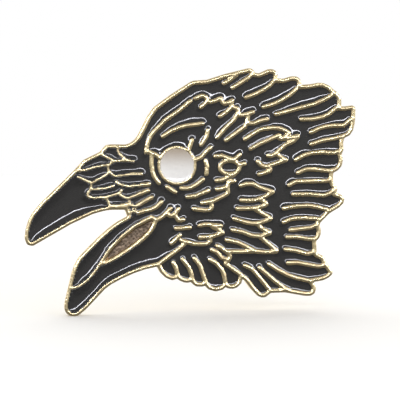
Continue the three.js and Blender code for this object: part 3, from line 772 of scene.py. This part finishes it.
class BADGE_OT_posts(bpy.types.Operator):
    """Turn the two grooved posts and lay the braze that holds them to the plate"""
    bl_idname = "badge.posts"
    bl_label = "Posts"

    def execute(self, context):
        settings = context.scene.badge_fixing
        brass = metal(
            "drawn brass", tuple(settings.brass), tuple(0.55 * c for c in settings.brass),
            0.24, 900.0, 0.8, 0.4, 0.010 * MM)
        braze = metal(
            "dull braze", tuple(settings.braze), tuple(0.4 * c for c in settings.braze),
            0.48, 1600.0, 0.1, 1.0, 0.05 * MM)
        for side in SIDES:
            low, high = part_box(f"post_{side}")
            centre = Vector(((low.x + high.x) / 2, 0, (low.z + high.z) / 2))
            finish_piece(
                turned(self.post(settings, low, high), centre), f"grooved_post_{side}", "badge",
                [brass], replaces=[f"post_{side}"], smooth_angle=math.radians(40))
            finish_piece(
                self.fillet(side, centre), f"braze_fillet_{side}", "badge", [braze],
                replaces=[f"braze_{side}"])
        return {"FINISHED"}

    def post(self, settings, low, high):
        foot = (high.x - low.x) / 2
        shaft = settings.shaft
        shoulder = 0.4 * MM
        tip = high.y - 1.5 * shaft
        profile = [(0.0, low.y), (foot, low.y)]
        profile += arc(foot - 0.1 * MM, low.y + 0.2 * MM, 0.1 * MM, 0, 70)
        profile += [(shaft + 0.18 * MM, low.y + shoulder), (shaft + 0.05 * MM, low.y + shoulder + 0.05 * MM)]
        profile += [(shaft, low.y + shoulder + 0.2 * MM)]
        for i in range(3):
            start = tip - shaft * (2 * (3 - i) - 0.6)
            profile += [
                (shaft, start),
                (0.86 * shaft, start + 0.12 * shaft),
                (0.80 * shaft, start + 0.24 * shaft),
                (0.80 * shaft, start + 0.46 * shaft),
                (0.86 * shaft, start + 0.58 * shaft),
                (shaft, start + 0.70 * shaft)]
        profile += [(shaft, tip), (0.96 * shaft, tip + 0.12 * shaft), (0.3 * shaft, high.y - 0.25 * shaft)]
        profile += [(0.16 * shaft, high.y - 0.05 * shaft), (0.0, high.y)]
        return profile

    def fillet(self, side, centre):
        low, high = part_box(f"braze_{side}")
        outer = (high.x - low.x) / 2
        inner = (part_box(f"post_{side}")[1].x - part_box(f"post_{side}")[0].x) / 2
        profile = [(inner, low.y), (outer, low.y), (outer, 0.0)]
        for i in range(1, 7):
            t = i / 6
            profile.append((outer + (inner - outer) * t, high.y * (0.25 * t + 0.75 * t * t)))
        bm = turned(profile, centre)
        for vert in bm.verts:
            if vert.co.y > 0.02 * MM:
                lump = noise.noise(vert.co / (0.5 * MM))
                vert.co.y += 0.03 * MM * min(0.0, lump) * vert.co.y / high.y
        return bm


class BADGE_OT_clutches(bpy.types.Operator):
    """Stamp the two butterfly clutches: disc, hood, leaf spring and two wings each"""
    bl_idname = "badge.clutches"
    bl_label = "Clutches"

    def execute(self, context):
        settings = context.scene.badge_fixing
        brass = metal(
            "stamped brass", tuple(settings.brass), tuple(0.6 * c for c in settings.brass),
            0.27, 500.0, 0.6, 0.5, 0.012 * MM)
        steel = metal(
            "spring steel", tuple(settings.steel), tuple(0.6 * c for c in settings.steel),
            0.33, 800.0, 0.8, 0.4, 0.008 * MM)
        for side in SIDES:
            disc_low, disc_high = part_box(f"clutch_{side}_disc")
            self.face = disc_low.y
            self.rim = disc_high.y - disc_low.y
            self.radius = (disc_high.x - disc_low.x) / 2
            self.centre = Vector(((disc_low.x + disc_high.x) / 2, 0, (disc_low.z + disc_high.z) / 2))
            body = f"clutch_{side}"
            pieces = (
                ("disc", self.disc(settings, side), body, brass, 35),
                ("hood", self.hood(settings, side), body, brass, 40),
                ("spring", self.spring(settings, side), body, steel, 40),
                ("wing_upper", self.wing(settings, side, 1), f"{body}_upper", brass, 40),
                ("wing_lower", self.wing(settings, side, -1), f"{body}_lower", brass, 40),
            )
            for label, bm, rides, finish, angle in pieces:
                finish_piece(
                    bm, f"{label}_{side}", rides, [finish],
                    replaces=[f"clutch_{side}_{label}"], smooth_angle=math.radians(angle))
        return {"FINISHED"}

    def disc(self, settings, side):
        sheet, face, radius = settings.sheet, self.face, self.radius
        lip = radius - sheet
        top = face + self.rim
        inside = face + sheet
        profile = [(settings.bore + 0.08 * MM, face), (0.52 * radius, face)]
        profile += [(0.56 * radius, face + 0.10 * MM), (0.62 * radius, face + 0.10 * MM)]
        profile += [(0.66 * radius, face)]
        profile += arc(radius - sheet, face + sheet, sheet, -90, 0)
        profile += arc(radius - sheet / 2, top - sheet / 2, sheet / 2, 0, 180, 8)
        profile += arc(lip - 0.15 * MM, inside + 0.15 * MM, 0.15 * MM, 0, -90, 4)
        profile += [(0.66 * radius, inside), (0.62 * radius, inside + 0.10 * MM)]
        profile += [(0.56 * radius, inside + 0.10 * MM), (0.52 * radius, inside)]
        profile += [(settings.bore + 0.05 * MM, inside), (settings.bore, inside - 0.08 * MM)]
        profile += [(settings.bore, face + 0.08 * MM)]
        bm = turned(profile, self.centre, 96)
        wing_low, wing_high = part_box(f"clutch_{side}_wing_upper")
        for sign in (1, -1):
            self.bead(bm, settings, (wing_high.x - wing_low.x) / 2, sign)
        return bm

    def bead(self, bm, settings, half_width, sign):
        """The ridge that a wing rocks on."""
        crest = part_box("clutch_left_wing_upper")[0].y - settings.gap
        half = 0.3 * MM
        made = bmesh.ops.create_cube(bm, size=1.0)
        height = crest - self.face - settings.sheet / 2
        for vert in made["verts"]:
            vert.co.x = self.centre.x + vert.co.x * 2 * half_width
            vert.co.y = self.face + settings.sheet / 2 + (vert.co.y + 0.5) * height
            vert.co.z = self.centre.z + sign * HINGE + vert.co.z * 2 * half
        top = [e for v in made["verts"] for e in v.link_edges
               if all(w.co.y > crest - 0.01 * MM for w in e.verts)]
        bmesh.ops.bevel(
            bm, geom=list(set(top)), offset=0.8 * half, offset_type="OFFSET", segments=4,
            profile=0.5, affect="EDGES", material=-1, clamp_overlap=True)

    def hood(self, settings, side):
        low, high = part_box(f"clutch_{side}_hood")
        sheet = settings.sheet
        roof = high.y - sheet / 2
        foot = low.y + sheet / 2
        reach = (high.x - low.x) / 2
        wall = reach - 1.0 * MM
        half = [(wall + 1.0 * MM, foot), (wall + 0.02 * MM, foot), (wall, roof)]
        path = [*half, *[(-u, v) for u, v in reversed(half)]]
        bm = bent_strip(path, sheet, (high.z - low.z) / 2, 0.0, 0.45 * MM)
        bmesh.ops.rotate(
            bm, cent=(0, 0, 0), matrix=Matrix.Rotation(math.radians(90), 3, "Y"), verts=bm.verts)
        bmesh.ops.translate(bm, verts=bm.verts, vec=(self.centre.x, 0, self.centre.z))
        bm = drilled(bm, "hood", self.centre + Vector((0, roof, 0)), settings.bore, 2 * MM)
        soften(bm, 0.05 * MM)
        return bm

    def spring(self, settings, side):
        low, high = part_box(f"clutch_{side}_spring")
        leaf = settings.leaf
        reach = (high.z - low.z) / 2
        bottom = low.y + leaf / 2
        path = [
            (-reach, high.y - leaf), (-0.5 * reach, bottom + leaf), (-0.36 * reach, bottom),
            (0.36 * reach, bottom), (0.5 * reach, bottom + leaf), (reach, high.y - leaf)]
        path = [(self.centre.z + u, v) for u, v in path]
        bm = bent_strip(path, leaf, (high.x - low.x) / 2, self.centre.x, 0.3 * MM)
        bm = drilled(bm, "spring", self.centre + Vector((0, bottom, 0)), settings.bore, 2 * MM)
        soften(bm, 0.02 * MM)
        return bm

    def wing(self, settings, side, sign):
        label = "upper" if sign > 0 else "lower"
        low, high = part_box(f"clutch_{side}_wing_{label}")
        sheet = settings.sheet
        arm = low.y + sheet / 2
        near = min(abs(low.z), abs(high.z))
        far = max(abs(low.z), abs(high.z)) - 0.03 * MM
        path = [
            (near, arm), (HINGE + 0.15 * MM, arm), (HINGE + 0.6 * MM, arm + 0.3 * MM),
            (far - 1.5 * sheet, high.y - 2 * sheet), (far - sheet / 2, high.y - 0.05 * MM)]
        path = [(self.centre.z + sign * u, v) for u, v in path]
        bm = bent_strip(path, sheet, (high.x - low.x) / 2, self.centre.x, 0.5 * MM, corner=0.9 * MM)
        bm = drilled(bm, "wing", self.centre + Vector((0, arm, 0)), settings.bore, 2 * MM)
        soften(bm, 0.05 * MM)
        return bm


# ---------------------------------------------------------------- stage

def studio_world(settings):
    """White all round for the camera; in reflections, a softbox high in front of a dim room."""
    world = bpy.data.worlds.new("studio")
    bpy.context.scene.world = world
    world.use_nodes = True
    tree = world.node_tree
    tree.nodes.clear()
    ramp = {"interpolation_type": "SMOOTHSTEP"}
    wire(
        tree,
        ray=("ShaderNodeLightPath", {}, {}),
        place=("ShaderNodeTexCoord", {}, {}),
        axes=("ShaderNodeSeparateXYZ", {}, {"Vector": ("place", "Generated")}),
        room=("ShaderNodeMapRange", ramp, {
            "Value": ("axes", "Z"), "From Min": -0.45, "From Max": -0.02, "To Min": 0.15, "To Max": 0.36}),
        behind=("ShaderNodeMapRange", ramp, {
            "Value": ("axes", "Y"), "From Min": -0.45, "From Max": 0.10}),
        table=("ShaderNodeMapRange", ramp, {
            "Value": ("axes", "Z"), "From Min": -0.9, "From Max": -0.1, "To Min": 0.55, "To Max": 1.35}),
        around=("ShaderNodeMix", {"data_type": "FLOAT"}, {
            "Factor": ("behind", "Result"), 2: ("room", "Result"), 3: ("table", "Result")}),
        under=("ShaderNodeMapRange", ramp, {
            "Value": ("axes", "Z"), "From Min": 0.27, "From Max": 0.285}),
        over=("ShaderNodeMapRange", ramp, {
            "Value": ("axes", "Z"), "From Min": 0.32, "From Max": 0.305}),
        left=("ShaderNodeMapRange", ramp, {
            "Value": ("axes", "X"), "From Min": -0.80, "From Max": -0.60}),
        ahead=("ShaderNodeMapRange", ramp, {
            "Value": ("axes", "Y"), "From Min": 0.10, "From Max": -0.10}),
        band=("ShaderNodeMath", {"operation": "MULTIPLY"}, {0: ("under", "Result"), 1: ("over", "Result")}),
        ends=("ShaderNodeMath", {"operation": "MULTIPLY"}, {0: ("left", "Result"), 1: ("ahead", "Result")}),
        softbox=("ShaderNodeMath", {"operation": "MULTIPLY"}, {0: ("band", "Value"), 1: ("ends", "Value")}),
        dim=("ShaderNodeBackground", {}, {
            "Color": (1.0, 0.985, 0.95, 1.0), "Strength": ("around", 0)}),
        lit=("ShaderNodeBackground", {}, {
            "Color": (0.92, 0.92, 1.0, 1.0), "Strength": settings.softbox}),
        light=("ShaderNodeMixShader", {}, {
            "Fac": ("softbox", "Value"), 1: ("dim", "Background"), 2: ("lit", "Background")}),
        card=("ShaderNodeBackground", {}, {"Color": (1.0, 1.0, 1.0, 1.0), "Strength": 1.0}),
        pick=("ShaderNodeMixShader", {}, {
            "Fac": ("ray", "Is Camera Ray"), 1: ("light", "Shader"), 2: ("card", "Background")}),
        out=("ShaderNodeOutputWorld", {}, {"Surface": ("pick", "Shader")}),
    )


class BADGE_OT_stage(bpy.types.Operator):
    """Set the pale floor, the studio light and the camera"""
    bl_idname = "badge.stage"
    bl_label = "Stage"

    def execute(self, context):
        settings = context.scene.badge_stage
        scene = context.scene
        scene.view_settings.view_transform = "Standard"
        self.floor(settings)
        studio_world(settings)
        self.camera(scene, settings)
        return {"FINISHED"}

    def floor(self, settings):
        bm = bmesh.new()
        bmesh.ops.create_grid(bm, x_segments=1, y_segments=1, size=3.0,
                              matrix=Matrix.Translation((0, 0, CAD_BOX[0].z)))
        floor = object_from(bm, "floor")
        floor.visible_glossy = False
        material, tree, shader, place = start_material("pale floor")
        made = wire(
            tree,
            mottle=("ShaderNodeTexNoise", {}, {"Vector": place, "Scale": 30.0, "Detail": 3.0}),
            tint=("ShaderNodeMix", {"data_type": "RGBA"}, {
                "Factor": ("mottle", "Fac"), 6: (*settings.floor, 1.0),
                7: (*[0.985 * c for c in settings.floor], 1.0)}),
        )
        tree.links.new(made["tint"].outputs[2], shader.inputs["Base Color"])
        shader.inputs["Roughness"].default_value = 0.9
        shader.inputs["Specular IOR Level"].default_value = 0.1
        floor.data.materials.append(material)

    def camera(self, scene, settings):
        data = bpy.data.cameras.new("camera")
        data.lens = settings.lens
        data.sensor_width = 36.0
        data.clip_start = 0.005
        data.clip_end = 10.0
        camera = bpy.data.objects.new("camera", data)
        scene.collection.objects.link(camera)
        distance = settings.width * settings.lens / data.sensor_width
        back = Vector((
            -math.sin(settings.swing) * math.cos(settings.rise),
            -math.cos(settings.swing) * math.cos(settings.rise),
            math.sin(settings.rise)))
        camera.location = Vector(settings.aim) + distance * back
        camera.rotation_euler = (-back).to_track_quat("-Z", "Y").to_euler()
        scene.camera = camera


# ---------------------------------------------------------------- add-on

class BADGE_PT_panel(bpy.types.Panel):
    """Sizes, colours and steps of the badge"""
    bl_idname = "BADGE_PT_panel"
    bl_label = "Enamel Pin Badge"
    bl_space_type = "VIEW_3D"
    bl_region_type = "UI"
    bl_category = "Badge"

    def draw(self, context):
        for operator, group in STEPS:
            box = self.layout.box()
            settings = getattr(context.scene, group)
            for name in settings.bl_rna.properties.keys():
                if name not in {"rna_type", "name"}:
                    box.prop(settings, name)
            box.operator(operator.bl_idname)


GROUPS = {
    "badge_struck": BadgeStruckSettings,
    "badge_enamel": BadgeEnamelSettings,
    "badge_fixing": BadgeFixingSettings,
    "badge_stage": BadgeStageSettings,
}
STEPS = (
    (BADGE_OT_struck_metal, "badge_struck"),
    (BADGE_OT_enamel, "badge_enamel"),
    (BADGE_OT_posts, "badge_fixing"),
    (BADGE_OT_clutches, "badge_fixing"),
    (BADGE_OT_stage, "badge_stage"),
)


def register():
    for name, group in GROUPS.items():
        bpy.utils.register_class(group)
        setattr(bpy.types.Scene, name, bpy.props.PointerProperty(type=group))
    for operator, _ in STEPS:
        bpy.utils.register_class(operator)
    bpy.utils.register_class(BADGE_PT_panel)


def unregister():
    bpy.utils.unregister_class(BADGE_PT_panel)
    for operator, _ in reversed(STEPS):
        bpy.utils.unregister_class(operator)
    for name, group in reversed(GROUPS.items()):
        delattr(bpy.types.Scene, name)
        bpy.utils.unregister_class(group)


def main():
    register()
    for operator, _ in STEPS:
        category, name = operator.bl_idname.split(".")
        getattr(getattr(bpy.ops, category), name)()


if __name__ == "__main__":
    main()
